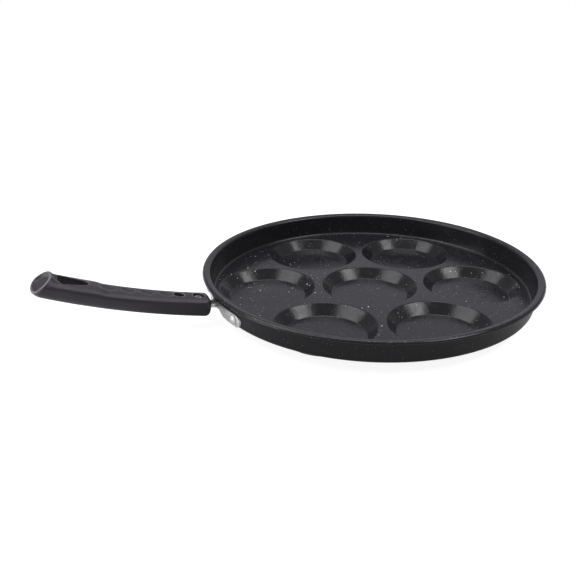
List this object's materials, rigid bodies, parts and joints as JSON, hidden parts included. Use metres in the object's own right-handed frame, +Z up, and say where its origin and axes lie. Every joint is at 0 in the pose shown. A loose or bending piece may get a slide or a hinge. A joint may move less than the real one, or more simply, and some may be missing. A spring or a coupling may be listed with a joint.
{
  "type": "aebleskiver pan",
  "caption": "Round pressed pan with wells for filled pancakes, turned lip, and a moulded grip on a riveted steel bracket with a slot to hang it by.",
  "frame": {"origin": "Middle of the centre well's underside, on the plane that the pan stands on.", "axes": "+X runs from the pan along the handle, +Z is up, and +Y completes a right-handed frame."},
  "size_m": [0.3808, 0.2612, 0.055],
  "materials": {
    "stone_coating": "satin",
    "bracket_steel": "satin",
    "rivet_steel": "polished",
    "grip_plastic": "satin",
    "screw_steel": "satin"
  },
  "bodies": {
    "root": {"pan_body": "stone_coating", "handle_bracket": "bracket_steel", "bracket_rivets": "rivet_steel", "handle_grip": "grip_plastic", "grip_screw": "screw_steel"}
  },
  "joints": []
}
